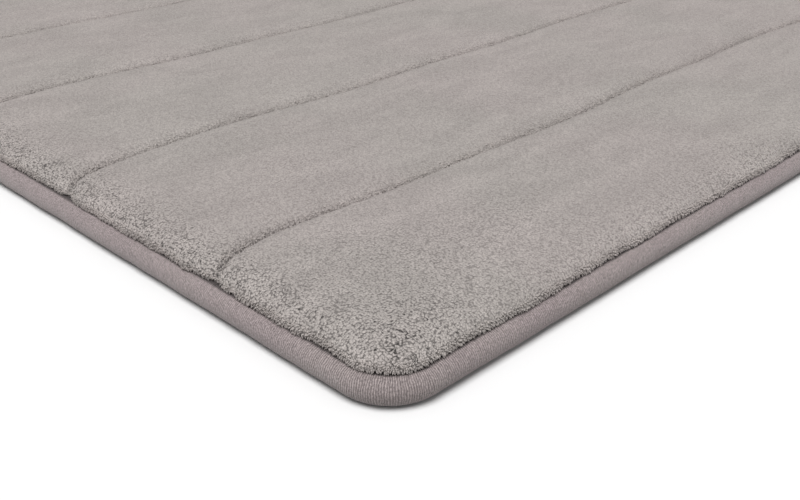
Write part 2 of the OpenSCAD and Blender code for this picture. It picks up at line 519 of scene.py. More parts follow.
# %% Tufts
CLUMP, CLUMP_ROUGHNESS = 4.2 * MM, 2 * MM
CLUMP_STANDS_OUT = 0.6 * MM
VELVET_STANDS_OUT = 0.1 * MM
LIP_WANDERS, LIP_WANDER_WIDTH = 0.55 * MM, 3 * MM
EDGE_OPENS, END_OPENS, CHANNEL_OPENS = 16 * MM, 45 * MM, 5 * MM
CORNER_OPENS, CORNER_OPENS_WIDE = 40 * MM, 120 * MM
PATCH = 24 * MM

# %% Point helpers
def piece_points(piece, what="co"):
    """Every point of a piece, or with "normal" its outward direction there, as an (n, 3) array."""
    values = np.zeros(len(piece.data.vertices) * 3, np.float32)
    piece.data.vertices.foreach_get(what, values)
    return values.reshape(-1, 3).astype(float)


def push_out(piece, amount):
    """Moves each point along its outward direction."""
    moved = piece_points(piece) + piece_points(piece, "normal") * amount[:, None]
    piece.data.vertices.foreach_set("co", moved.astype(np.float32).ravel())
    piece.data.update()


def store(piece, name, values):
    """Stores one number for each point of the piece, which a material can read by its name."""
    piece.data.attributes.new(name, "FLOAT", "POINT").data.foreach_set("value", values.astype(np.float32))

# %% Openness
def openness(points):
    """From 0 to 1: falls off exponentially from the edge, from the channels and from the four corners. The
    long sides lie along the strips and stay half closed."""
    x, y, _ = points.T
    from_end = half_length - np.abs(x)
    edge = np.exp(-np.clip(edge_distance(x, y, LIP_INSET), 0, None) / EDGE_OPENS)
    edge *= 0.45 + 0.55 * (1 - ramp(from_end, CORNER_OPENS))
    channel = (0.3 + 0.35 * np.exp(-from_end / END_OPENS)) * np.exp(-channel_distance(x, y) / CHANNEL_OPENS)
    from_corner = corner_distance(x, y)
    corner = 0.65 * np.exp(-from_corner / CORNER_OPENS) + 0.35 * np.exp(-from_corner / CORNER_OPENS_WIDE)
    patches = 0.12 * smooth_noise(points, PATCH, 31)
    return np.clip(np.maximum(np.maximum(edge, channel), corner) + patches, 0, 1)

# %% Clumps on the cover
cover_points = piece_points(cover)
cover_x, cover_y, cover_z = cover_points.T
cover_open = openness(cover_points)
on_top = ramp(cover_z - edge_height - 0.2 * MM, 1 * MM)
clumps = packed_bumps(cover_points, CLUMP, 41) - 0.6
clumps += 0.45 * smooth_noise(cover_points, CLUMP_ROUGHNESS, 42)
stands_out = VELVET_STANDS_OUT + (CLUMP_STANDS_OUT - VELVET_STANDS_OUT) * cover_open
push_out(cover, on_top * stands_out * clumps)
at_lip = 1 - ramp(edge_distance(cover_x, cover_y, LIP_INSET), LIP_WANDER_WIDTH)
at_lip *= ramp(cover_z - edge_height - 0.3 * MM, 0.3 * MM)
push_out(cover, at_lip * LIP_WANDERS * smooth_noise(cover_points, LIP_WANDER_WIDTH, 43))
store(cover, "open", cover_open)
stand_for(cover, "plush_cover")
print(f"clumps stand out by up to {stands_out.max() / MM:.2f} mm")

# %% [markdown]
# Along the lip the pile ends in a ragged fringe that hangs over the tape's seam and shades it, and ragged
# rows look into every crease. There the tips are seen one by one against something darker, so they are
# modelled: each is a small rounded cone with three sides, closed at its root, that grows out of the
# cover. All cones of a fringe are worked out at once as one array and make one piece.

# %% Pile tips
TIP_SPACING = 0.6 * MM
TIP_SIDES = 3
TIP_SUNK = 0.35 * MM
TIP_DROOPS = 0.12 * MM
SHOULDER_PLACE, SHOULDER_WIDTH = 0.6, 0.8
TIP_OPEN = (0.2, -0.3, -0.5)


def unit(vectors):
    """The same directions with length one."""
    return vectors / np.linalg.norm(vectors, axis=-1, keepdims=True)


def chances(count, seed):
    """Six columns of repeatable numbers from 0 to 1."""
    address = points_from(np.arange(count))
    return np.stack([cell_random(address, seed + column) for column in range(6)], axis=1)


def pile_tips(name, root, direction, length, width):
    """Cones that start a little under `root` and run along `direction`: a ring at the root, a ring at three
    fifths of the length, nearly as wide, and a tip that droops a little. The openness that the finish
    reads falls below zero towards the tip, which stands for fibres that catch the light."""
    beside = unit(np.cross(direction, [0.02, 0.01, 1.0]))
    above = np.cross(beside, direction)
    turn = np.arange(TIP_SIDES) / TIP_SIDES * 2 * math.pi
    spokes = beside[:, None] * np.cos(turn)[:, None] + above[:, None] * np.sin(turn)[:, None]
    spokes = spokes * width[:, None, None]
    start = root - direction * TIP_SUNK
    shoulder = start + direction * SHOULDER_PLACE * length[:, None]
    tip = start + direction * length[:, None] - np.array([0, 0, TIP_DROOPS])
    rings = [start[:, None] + spokes, shoulder[:, None] + spokes * SHOULDER_WIDTH, tip[:, None]]
    cones = np.concatenate(rings, axis=1)
    starts = np.arange(len(cones))[:, None, None] * (2 * TIP_SIDES + 1)
    quads = (grid_quads(2, TIP_SIDES, True) + starts).reshape(-1, 4)
    ends = (np.array([[3, 4, 6], [4, 5, 6], [5, 3, 6], [2, 1, 0]]) + starts).reshape(-1, 3)
    piece = build_mesh(name, cones.reshape(-1, 3), quads, ends)
    store(piece, "open", np.tile(np.repeat(TIP_OPEN, (TIP_SIDES, TIP_SIDES, 1)), len(cones)))
    stand_for(piece, "plush_cover")
    return piece

# %% [markdown]
# The lip's tips grow from the cover's own rings: a root lies part of the way from one ring to the next and
# from one point to the next, and takes its outward direction from there too. The lowest row hangs most.

# %% Lip fringe
FRINGE_ROWS = 4
FRINGE_RING_STEP = 1.2
FIRST_FRINGE_RING = len(RIM_HOOK)


def lip_fringe():
    """Rows of tips that climb from the underside of the lip."""
    ring_size = rim.shape[1]
    per_row = int(ring_size * RIM_SPACING / TIP_SPACING)
    row, step = np.divmod(np.arange(FRINGE_ROWS * per_row), per_row)
    chance = chances(len(row), 61)
    along = (step + chance[:, 0] + 0.5 * (row % 2)) / per_row * ring_size
    ring = FIRST_FRINGE_RING + row * FRINGE_RING_STEP + chance[:, 1]
    column, line = along.astype(int), ring.astype(int)

    def at_root(values):
        """The cover's values at the roots: its four nearest points, each weighted by how near it is."""
        grid = values[:rim[..., 0].size].reshape(rim.shape)
        total = np.zeros((len(row), 3))
        for up, on in np.ndindex(2, 2):
            share = np.where(on, along % 1, 1 - along % 1) * np.where(up, ring % 1, 1 - ring % 1)
            total += grid[line + up, (column + on) % ring_size] * share[:, None]
        return total

    climb = row / (FRINGE_ROWS - 1)
    lean = np.column_stack([np.zeros((len(row), 2)), -0.35 * (1 - climb)])
    direction = unit(unit(at_root(piece_points(cover, "normal"))) + lean + 0.9 * (chance[:, 2:5] - 0.5))
    length = (1.25 - 0.35 * climb) * (0.75 + 0.5 * chance[:, 5]) * MM
    width = (0.32 + 0.1 * chance[:, 4]) * MM
    return pile_tips("pile_fringe", at_root(piece_points(cover)), direction, length, width)


fringe = lip_fringe()

# %% [markdown]
# The rows beside a crease stand on the two shoulders that face each other. Each tip's root is on the padded
# surface, at a distance from the channel that is drawn at random, and it leans a little over the crease.

# %% Crease tips
CREASE_ROWS = 3
CREASE_REACH = 2.2 * MM
CREASE_END = 3 * MM
FAR_SIDE_SHARE = 0.35


def crease_tips():
    """Tips along both sides of every channel, thickest close to it."""
    length = 2 * (half_length - LIP_INSET - CREASE_END)
    per_row = int(length / TIP_SPACING)
    count = per_row * CREASE_ROWS * len(channel_lines)
    line, step = np.divmod(np.arange(count), per_row)
    chance = chances(count, 71)
    x = ((step + chance[:, 0]) / per_row - 0.5) * length
    side = np.where(chance[:, 1] > FAR_SIDE_SHARE, 1.0, -1.0)
    away = CREASE_REACH * (0.15 + 0.85 * chance[:, 2] ** 1.5) * side
    number = line // CREASE_ROWS
    y = channel_lines[number] + away + channel_drift(x)[number, np.arange(count)]
    root = np.column_stack([x, y, padded_height(x, y)])
    sideways = np.column_stack([np.zeros(count), -0.5 * side, np.ones(count)])
    direction = unit(sideways + 1.1 * (chance[:, 3:6] - 0.5))
    tip_length, width = (0.65 + 0.4 * chance[:, 4]) * MM, (0.24 + 0.1 * chance[:, 5]) * MM
    return pile_tips("crease_tips", root, direction, tip_length, width)


crease_fringe = crease_tips()

# %% [markdown]
# ## The edge tape
#
# A knitted tape is folded round the edge: a half round outside, a short leg on the pile and a longer one
# underneath. A curve with a bevel could carry the profile, but it would be one face thick and its UV map
# would follow the curve's own points. So the profile, outside then inside, is carried round the outline
# as a grid. Real tape is a little lumpy, because each stitch pulls it in and the foam behind it pushes
# out. Its knitted ribs are far too fine for the mesh, so the piece gets a UV map that says how far round
# and how far across the tape each point is, for the finish to draw them with.

# %% Tape
TAPE_SPACING = 1.35 * MM
TAPE_THICKNESS = 0.95 * MM
STITCH_LENGTH = 3.2 * MM
SEAM_FURROW = 0.6 * MM
OUTSIDE_STEPS, INSIDE_STEPS = 23, 9
SMALL_LUMP, LARGE_LUMP = 5 * MM, 14 * MM

tape_inset = edge_distance(design_tape[:, 0], design_tape[:, 1], 0)
lower_leg = tape_inset.max()
upper_leg = tape_inset[design_tape[:, 2] > edge_height - 0.01 * MM].max()
under_seam_inset = half_length - under_seam_high.x + thread_diameter / 2


def tape_section():
    """(distance in from the edge, height) round the tape's section, from the lower leg's cut edge up over
    the outside to the upper leg's, and back inside: a leg, a half circle and a leg, twice."""
    half = edge_height / 2

    def side(radius, steps, furrow_depth):
        turn = np.linspace(-math.pi / 2, math.pi / 2, steps)
        below = np.array([lower_leg, *(under_seam_inset + SEAM_FURROW * np.array([1, 0.5, -0.5, -1]))])
        above = np.linspace(half, upper_leg, 4)[1:]
        inset = np.concatenate([below, half - radius * np.cos(turn), above])
        height = half + radius * np.concatenate([-np.ones(len(below)), np.sin(turn), np.ones(len(above))])
        height[2:4] += furrow_depth
        return np.stack([inset, height], axis=1)

    return side(half, OUTSIDE_STEPS, SEAM_FURROW), side(half - TAPE_THICKNESS, INSIDE_STEPS, 0)[::-1]


def tape_piece():
    """The tape's mesh with its UV map: u once round the mat, v once round the section."""
    walk = walk_outline(TAPE_SPACING, 0)
    points = np.array([ring_at(walk, inset, height) for inset, height in np.concatenate(tape_section())])
    rows, columns = points.shape[:2]
    quads = grid_quads(rows + 1, columns, True) % (rows * columns)
    tape = build_mesh("edge_tape", points.reshape(-1, 3), quads)

    corner = np.zeros(len(tape.data.loops), np.int32)
    tape.data.loops.foreach_get("vertex_index", corner)
    v, u = np.divmod(corner.reshape(-1, 4), columns)
    uv = np.stack([u / columns, v / rows], axis=-1)
    uv += uv.max(axis=1, keepdims=True) - uv > 0.5
    tape.data.uv_layers.new(name="tape").data.foreach_set("uv", uv.astype(np.float32).ravel())
    return tape, walk.walked


tape, tape_walked = tape_piece()
tape_length = tape_walked[-1]
tape_points = piece_points(tape)
tape_z = tape_points[:, 2]
around = np.tile(tape_walked, len(tape_points) // len(tape_walked))
unrolled = points_from(around, tape_z)
lumps = 0.10 * smooth_noise(unrolled, SMALL_LUMP, 51) + 0.10 * smooth_noise(unrolled, LARGE_LUMP, 52)
near_seam = ramp(tape_z - edge_height + 2 * MM, 2 * MM)
pull = -0.12 * near_seam * (1 + np.cos(2 * math.pi * around / STITCH_LENGTH)) / 2
off_floor = ramp(tape_z, 2 * MM)
push_out(tape, (lumps + pull) * off_floor * MM)
stand_for(tape, "edge_binding")
tape_width = np.hypot(*np.diff(tape_section()[0], axis=0).T).sum()
print(f"tape {tape_width / MM:.1f} mm wide, cut {tape_length:.3f} m long")

# %% [markdown]
# ## The foam
#
# The foam can't be seen on the finished mat, but it is what makes it soft, so it gets its true shape. It
# follows the cover's underside, is squeezed thin at the channels, and its square-cut edge is squashed
# round inside the fold of the tape. A flat box with a Displace modifier would come close, but it would
# poke through the cover at a crease, so the foam uses the cover's own height, less a small gap.

# %% Foam
FOAM_GAP = 0.2 * MM
FOAM_SPACING = 4 * MM
FOAM_STEPS, FOAM_ALONG = 14, 6 * MM
FLAT_STEPS, FLAT_ALONG = 2, 30 * MM
FOAM_TOP_INSET = 15.5 * MM
FOAM_RIM = np.array([
    (16, 0), (6, 0), (2.6, 0.1), (2.0, 1.2), (1.9, 2.4), (2.6, 3.7), (4.5, 3.95), (8.6, 4.0), (9.2, 5.2),
]) * MM


def foam_height(x, y):
    """The foam's surface: the underside of the cover, less a small gap."""
    return cover_underside(x, y) - FOAM_GAP


def foam_piece():
    """The foam as a closed pad: a flat underside, a squashed rim and a top that follows the cover."""
    walk = walk_outline(FOAM_SPACING, 0)
    rings = [ring_at(walk, inset, foam_low.z + rise) for inset, rise in FOAM_RIM]
    x, y, _ = ring_at(walk, FOAM_TOP_INSET, 0).T
    rings.append(ring_at(walk, FOAM_TOP_INSET, foam_height(x, y)))
    top = wide_face(FOAM_STEPS, FOAM_ALONG, foam_height)
    bottom = wide_face(FLAT_STEPS, FLAT_ALONG, lambda x, y: foam_low.z)
    return closed_pad("memory_foam", np.array(rings), walk.place, top, bottom)


foam = foam_piece()
stand_for(foam, "foam_core")

# %% [markdown]
# ## The backing
#
# A coated cloth closes the underside. It lies flat on the foam, apart from a shallow furrow along each
# line of quilting, where the bobbin thread pulls it up. It could be one flat face, but a cloth with
# thickness and a slightly rounded cut edge catches the light like cloth, so it is a closed pad too.

# %% Backing
FURROW_DEPTH = 0.35 * MM
FURROW_WIDTH = 2.5 * MM
BACKING_SPACING = 2.5 * MM
BACKING_STEPS, BACKING_ALONG = 14, 8 * MM
CUT_ROUND = 0.25 * MM
FLAT_FROM = 16 * MM


def backing_lift(x, y):
    """How far the backing is pulled up into the foam: a bell-shaped furrow along each channel."""
    furrow = np.exp(-(channel_distance(x, y) / FURROW_WIDTH) ** 2)
    inside = np.clip(edge_distance(x, y, 0) / (12 * MM) - 0.8, 0, 1)
    return FURROW_DEPTH * furrow * inside


def backing_piece():
    """The backing as a closed pad of even thickness with a slightly rounded cut edge."""
    walk = walk_outline(BACKING_SPACING, 0)
    inset = half_length - backing_high.x
    low, high = backing_low.z, backing_high.z - 0.05 * MM
    trimmed = inset + CUT_ROUND
    section = [(FLAT_FROM, low), (trimmed, low), (inset, low + CUT_ROUND), (inset, high - CUT_ROUND),
               (trimmed, high), (FLAT_FROM, high)]
    rings = [ring_at(walk, depth, height) for depth, height in section]

    def face_at(level):
        return wide_face(BACKING_STEPS, BACKING_ALONG, lambda x, y: level + backing_lift(x, y))

    return closed_pad("backing", np.array(rings), walk.place, face_at(high), face_at(low))


backing = backing_piece()
stand_for(backing, "backing_cloth")

# %% [markdown]
# ## Grip dots
#
# The dots are drops of rubber printed on the backing: round, a little domed, and flat where they touch
# the floor. The design gives their places. Its points are sorted into rows and then into columns, and
# each dot's centre is the mean of its points. One object for each dot would fill the scene with nearly
# two thousand objects, so all dots are one mesh.

# %% Dots
DOT_SIDES = 10
DOT_RADIUS = 1.6 * MM


def groups_along(values, gap):
    """A group number for each value: a new group starts wherever sorted values jump by more than gap."""
    order = np.argsort(values)
    group = np.zeros(len(values), int)
    group[order] = np.append(0, np.cumsum(np.diff(values[order]) > gap))
    return group


def dot_centres():
    """The centre of every dot in the design, as an (n, 2) array."""
    points = node_points("grip_dots")
    row = groups_along(points[:, 1], 2 * MM)
    spread = row * 4 * half_length + points[:, 0]
    dot = groups_along(spread, 4 * MM)
    count = np.bincount(dot)
    return np.stack([np.bincount(dot, points[:, axis]) / count for axis in range(2)], axis=1)


def dots_piece():
    """All dots as one mesh: each is four rings from its root in the backing to its flat tip."""
    low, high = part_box("grip_dots")
    top = high.z + 0.2 * MM
    section = np.array([(1.0, top), (0.97, 0.7 * high.z), (0.84, 0.25 * high.z), (0.6, low.z)])
    turn = np.arange(DOT_SIDES) / DOT_SIDES * 2 * math.pi
    ring = np.stack([np.cos(turn), np.sin(turn)], axis=1) * DOT_RADIUS
    centres = dot_centres()
    flat = centres[:, None, None, :] + ring * section[:, None, :1]
    height = np.broadcast_to(section[:, 1][:, None, None], (*flat.shape[:3], 1))
    points = np.concatenate([flat, height], axis=-1)
    size = len(section) * DOT_SIDES
    starts = np.arange(len(centres))[:, None, None] * size
    sides = (grid_quads(len(section), DOT_SIDES, True)[:, ::-1] + starts).reshape(-1, 4)
    second = np.arange(1, DOT_SIDES - 1)
    fan = np.stack([np.zeros_like(second), second, second + 1], axis=1)
    root = (fan + starts).reshape(-1, 3)
    tip = (fan[:, ::-1] + size - DOT_SIDES + starts).reshape(-1, 3)
    return build_mesh("rubber_dots", points.reshape(-1, 3), sides, np.concatenate([root, tip]))


dots = dots_piece()
stand_for(dots, "grip_dots")

# %% [markdown]
# ## Sewing threads
#
# A lockstitch shows as a row of short beads: the thread lies on the cloth for most of each stitch, and
# dives into it where the needle went through. So a seam is a thin tube whose centre follows the seam's
# line, with four rings of points to a stitch, one of them pulled down into the cloth. A curve with a
# round bevel would make a smooth cord more quickly, but not the beads.

# %% Threads
THREAD_SIDES = 6
DIVE = np.array([1.0, 0.12, 0.0, 0.12]) * 0.6 * MM


def seam_tube(name, line, direction, height, into_cloth, closed):
    """A tube along `line`, an (n, 2) array with unit directions, at that height. `into_cloth` is 1 where
    the cloth is above the thread and -1 where it is below."""
    turn = np.arange(THREAD_SIDES) / THREAD_SIDES * 2 * math.pi
    radius = thread_diameter / 2
    beside = np.stack([-direction[:, 1], direction[:, 0]], axis=1)
    centre = height + into_cloth * np.resize(DIVE, len(line))
    flat = line + beside * radius * np.cos(turn)[:, None, None]
    up = centre + radius * np.sin(turn)[:, None]
    points = np.concatenate([flat, up[..., None]], axis=-1)
    count = len(line)
    quads = grid_quads(THREAD_SIDES + 1, count, closed) % (THREAD_SIDES * count)
    ends = None
    if not closed:
        rim = np.arange(THREAD_SIDES) * count
        fan = np.stack([rim[[0] * (THREAD_SIDES - 2)], rim[1:-1], rim[2:]], axis=1)
        ends = np.concatenate([fan, fan[:, ::-1] + count - 1])
    return build_mesh(name, points.reshape(-1, 3), quads[:, ::-1], ends)


def quilt_thread(number, node, under):
    """One quilting thread, which follows its channel's drift."""
    low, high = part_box(node)
    x = np.arange(low.x, high.x, STITCH_LENGTH / len(DIVE))
    y = channel_lines[number] + channel_drift(x)[number]
    slope = np.gradient(y, x)
    direction = np.stack([np.ones(len(x)), slope], axis=1) / np.hypot(1, slope)[:, None]
    height = (low.z + high.z) / 2 + (backing_lift(x, y) if under else 0)
    tube = seam_tube(f"sewn_{node}", np.stack([x, y], axis=1), direction, height, 1 if under else -1, False)
    stand_for(tube, node)
    return tube


def tape_thread(node, under):
    """One of the two threads that sew the tape down, all the way round."""
    low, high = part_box(node)
    walk = walk_outline(STITCH_LENGTH / len(DIVE), half_length - high.x + thread_diameter / 2)
    even = len(walk.core) // len(DIVE) * len(DIVE)
    core, outward = walk.core[:even], walk.outward[:even]
    direction = np.stack([-outward[:, 1], outward[:, 0]], axis=1)
    height = np.full(even, (low.z + high.z) / 2)
    line = core + outward * walk.radius
    tube = seam_tube(f"sewn_{node}", line, direction, height, 1 if under else -1, True)
    stand_for(tube, node)
    return tube


threads = [quilt_thread(number, node, False) for number, node in enumerate(quilt_tops)]
threads += [quilt_thread(number, node, True) for number, node in enumerate(quilt_unders)]
threads += [tape_thread("binding_top_thread", False), tape_thread("binding_under_thread", True)]
print(len(threads), "sewn threads")

# %% [markdown]
# ## Finishes
#
# Every finish is a small network of nodes. One helper makes a node, sets its numbers and links what is
# already a socket, so that a material reads as a list of steps. All patterns read the mat's own
# coordinates in metres, and a pattern's scale is one over the size of its detail.

# %% Node helpers
def new_finish(name, **sockets):
    """A material and its node tree. The named sockets of its Principled shader are set."""
    material = bpy.data.materials.new(name)
    material.use_nodes = True
    shader = material.node_tree.nodes["Principled BSDF"]
    for socket, value in sockets.items():
        shader.inputs[socket.replace("_", " ")].default_value = value
    return material, material.node_tree


def connect(tree, colour, height, depth, strength):
    """Gives the shader its colour, and a height as a bump of that depth."""
    shader = tree.nodes["Principled BSDF"]
    bump = add(tree, "Bump", Height=height, Distance=depth, Strength=strength)
    tree.links.new(colour, shader.inputs["Base Color"])
    tree.links.new(bump, shader.inputs["Normal"])


def add(tree, kind, output=0, **settings):
    """Adds a node and returns one of its outputs. A setting that names an input socket sets or links it;
    any other sets a property of the node."""
    node = tree.nodes.new("ShaderNode" + kind)
    for name, value in settings.items():
        if not name[0].isupper():
            setattr(node, name, value)
    for name, value in settings.items():
        if name[0].isupper():
            label, _, number = name.partition("__")
            sockets = [s for s in node.inputs if s.name == label.replace("_", " ") and s.enabled]
            socket = sockets[int(number or 0)]
            if isinstance(value, bpy.types.NodeSocket):
                tree.links.new(value, socket)
            else:
                socket.default_value = value
    return node.outputs[output]


def maths(tree, operation, first, second=None):
    """One arithmetic step on one or two values."""
    values = {"Value__0": first} if second is None else {"Value__0": first, "Value__1": second}
    return add(tree, "Math", operation=operation, **values)


def product(tree, value, *others):
    """Multiplies any number of values, one after the other."""
    for other in others:
        value = maths(tree, "MULTIPLY", value, other)
    return value


def spread(tree, value, low, high, to_low=0.0, to_high=1.0):
    """Maps low..high to to_low..to_high with a soft start and end."""
    return add(tree, "MapRange", interpolation_type="SMOOTHSTEP", Value=value, From_Min=low, From_Max=high,
               To_Min=to_low, To_Max=to_high)


def blend_colours(tree, share, first, second):
    """Mixes two colours."""
    return add(tree, "Mix", output=2, data_type="RGBA", Factor=share, A=first, B=second)


def scale_colour(tree, colour, light):
    """Makes a colour lighter or darker."""
    return add(tree, "VectorMath", operation="SCALE", Vector=colour, Scale=light)


def stored(tree, name):
    """Reads a number that is stored on the mesh."""
    return add(tree, "Attribute", output=2, attribute_name=name)


def noise(tree, place, size, detail, **settings):
    """Smooth noise whose coarsest spots are about as wide as the size."""
    return add(tree, "TexNoise", Vector=place, Scale=1 / size, Detail=detail, **settings)


def stripes(tree, place, spacing, direction, distortion):
    """Soft stripes. A wave texture of scale 1 repeats every twentieth of a full turn."""
    return add(tree, "TexWave", Vector=place, Scale=0.05 / spacing * 2 * math.pi, bands_direction=direction,
               Distortion=distortion, Detail=1.0)


def pushed_about(tree, place, by, size, distance):
    """Coordinates pushed about by noise that reads `by` and has that size, up to half the distance."""
    push = noise(tree, by, size, 1.0, output=1)
    return add(tree, "VectorMath", operation="MULTIPLY_ADD", Vector__0=push, Vector__1=(distance,) * 3,
               Vector__2=place)


def surface_coordinates(tree, scale=(1, 1, 1)):
    """The mat's own coordinates in metres, stretched by scale."""
    place = add(tree, "TexCoord", output=3)
    return add(tree, "Mapping", Vector=place, Scale=scale)


def wear(piece, material):
    """Gives the piece this material only."""
    piece.data.materials.clear()
    piece.data.materials.append(material)

# %% [markdown]
# ### Plush
#
# Pile is thousands of tufts, far too many to model over the whole mat, so the finish draws them. A Voronoi
# pattern gives each tuft a cell: its distance sets a furrow round the tuft, darkened with painted shade,
# and its colour a tone of the tuft's own. Where the pile is open the furrows deepen and their painted shade
# grows, painted shade fills gaps between groups of tufts and here and there a long crack, and the tufts get
# a painted highlight. The crease and the root of the lip are sewn down and get painted shade, and the free
# tips of the fringes get a painted highlight. Slow patches and faint brush strokes along the strips break
# up the velvet.

# %% Plush finish
TUFT = 0.64 * MM
FIBRE = 0.34 * MM
TUFT_TWIST = 0.6 * MM
GAP_SPACING = 2.3 * MM
CRACK_SPACING, CRACK_BENDS, CRACK_BENT_BY = 7 * MM, 4 * MM, 9 * MM
CRACK_PLACES = 6 * MM
PATCHES_PER_METRE = 14.0
STROKES_PER_METRE = (30, 70, 1)
WARM_TAUPE, COOL_TAUPE = (0.400, 0.360, 0.345, 1), (0.392, 0.360, 0.341, 1)


def plush_colour(tree, place):
    """Two close taupes in slow patches."""
    patches = add(tree, "TexNoise", Vector=place, Scale=PATCHES_PER_METRE, Detail=2.0)
    return blend_colours(tree, spread(tree, patches, 0.35, 0.65), WARM_TAUPE, COOL_TAUPE)


def painted_gap_shade(tree, place, twist, open_pile):
    """Painted shade in the gaps between groups of tufts and in the cracks between clumps, both only where
    the pile is open.
    """
    gaps = add(tree, "TexVoronoi", Vector=twist, Scale=1 / GAP_SPACING, Randomness=1.0)
    gap = product(tree, spread(tree, gaps, 0.08, 0.2, 1.0, 0.0),
                  spread(tree, open_pile, 0.1, 0.8, 0.0, 0.75))
    bend = pushed_about(tree, twist, place, CRACK_BENDS, CRACK_BENT_BY)
    cracks = add(tree, "TexVoronoi", feature="DISTANCE_TO_EDGE", Vector=bend, Scale=1 / CRACK_SPACING,
                 Randomness=1.0)
    here = product(tree, spread(tree, noise(tree, place, CRACK_PLACES, 1.0), 0.52, 0.6),
                   spread(tree, open_pile, 0.3, 0.8, 0.0, 0.8))
    return gap, product(tree, spread(tree, cracks, 0.0, 0.03, 1.0, 0.0), here)


def plush_finish():
    """Taupe-grey microfibre pile."""
    material, tree = new_finish(
        "plush", Roughness=0.95, Specular_IOR_Level=0.12, Sheen_Weight=0.06, Sheen_Roughness=0.5,
        Sheen_Tint=(1, 0.97, 0.95, 1),
    )
    place = surface_coordinates(tree)
    open_pile = stored(tree, "open")
    twist = pushed_about(tree, place, place, TUFT_TWIST, TUFT_TWIST)
    tufts = add(tree, "TexVoronoi", Vector=twist, Scale=1 / TUFT, Randomness=0.9)
    tuft_tone = add(tree, "TexVoronoi", output=1, Vector=twist, Scale=1 / TUFT, Randomness=0.9)
    fibres = noise(tree, place, FIBRE, 3.0, Roughness=0.75)
    strokes = add(tree, "TexNoise", Vector=surface_coordinates(tree, STROKES_PER_METRE), Scale=1.0,
                  Detail=3.0, Distortion=0.6)
    gap, crack = painted_gap_shade(tree, place, twist, open_pile)
    furrow = product(tree, spread(tree, tufts, 0.36, 0.8), spread(tree, open_pile, 0.0, 0.8, 0.2, 0.66))
    # Painted light: highlights on open pile and on the fringes' tips, and painted shade in the crease,
    # under the lip, and in the furrows, gaps and cracks.
    light = product(
        tree,
        spread(tree, strokes, 0.3, 0.7, 0.945, 1.055),
        spread(tree, fibres, 0.3, 0.7, 0.84, 1.16),
        spread(tree, open_pile, -0.5, 0.0, 1.5, 1.0),
        spread(tree, stored(tree, "seam"), 0.0, 1.0, 1.0, 0.3),
        spread(tree, open_pile, 0.0, 0.8, 0.98, 1.28),
        spread(tree, tuft_tone, 0.0, 1.0, 0.88, 1.12),
        *(maths(tree, "SUBTRACT", 1.0, shade) for shade in (furrow, gap, crack)),
    )

    height = product(tree, tufts, spread(tree, open_pile, 0.0, 0.8, -0.5, -1.4))
    height = maths(tree, "ADD", height, maths(tree, "MULTIPLY", fibres, 0.5))
    height = maths(tree, "SUBTRACT", height, maths(tree, "ADD", gap, crack))
    connect(tree, scale_colour(tree, plush_colour(tree, place), light), height, 0.4 * MM, 1.0)
    return material

# %% [markdown]
# The finish also has to know where to paint shade on the cover. That is worked out here, once the cover has
# its final shape: a narrow bell along each crease, darkest near the mat's ends, and the underside of the
# lip.

# %% Wearing the plush
CREASE_DARK, CREASE_DARK_END = 0.7 * MM, 60 * MM

cover_x, cover_y, cover_z = piece_points(cover).T
to_end = np.exp(-(half_length - np.abs(cover_x)) / CREASE_DARK_END)
in_crease = (0.3 + 0.7 * to_end) * np.exp(-(channel_distance(cover_x, cover_y) / CREASE_DARK) ** 2)
under_lip = ramp(edge_height + 0.5 * MM - cover_z, 0.4 * MM)
# The stored values paint shade into the crease and under the lip.
store(cover, "seam", np.maximum(in_crease, under_lip))
plush = plush_finish()
for piece in (cover, fringe, crease_fringe):
    wear(piece, plush)

# %% [markdown]
# ### Knitted tape
# The tape's ribs run across it, so they follow the UV map's u, which is why the tape has one. Each rib is
# one sine wave, bent a little by noise, under a brushed surface. Round a corner the tape is stretched and
# its ribs stand out; along the sides they are soft. The underside of the fold gets a painted contact shade,
# the seam under the pile painted shade, and the whole side is painted darker towards the floor and lighter
# at the top, as if lit from above.

# %% Tape finish
RIB = 0.66 * MM
RIB_BENDS, RIB_BENT_BY = 2.2 * MM, 1.5
KNIT_FUZZ = 0.5 * MM
TAPE_PATCH = 30 * MM
TAPE_TAUPES = (0.296, 0.253, 0.249, 1), (0.286, 0.241, 0.241, 1)


def tape_ribs(tree, place):
    """From 0 in a groove to 1 on a rib: a whole number of sine waves round the mat."""
    along = add(tree, "SeparateXYZ", Vector=add(tree, "UVMap", uv_map="tape"))
    phase = maths(tree, "MULTIPLY", along, float(round(tape_length / RIB)))
    bend = noise(tree, place, RIB_BENDS, 2.0)
    phase = maths(tree, "ADD", phase, maths(tree, "MULTIPLY", bend, RIB_BENT_BY))
    wave = maths(tree, "SINE", maths(tree, "MULTIPLY", phase, 2 * math.pi))
    rib = product(tree, wave, spread(tree, stored(tree, "stretched"), 0.0, 1.0, 0.35, 1.0))
    return spread(tree, rib, -1.0, 1.0)


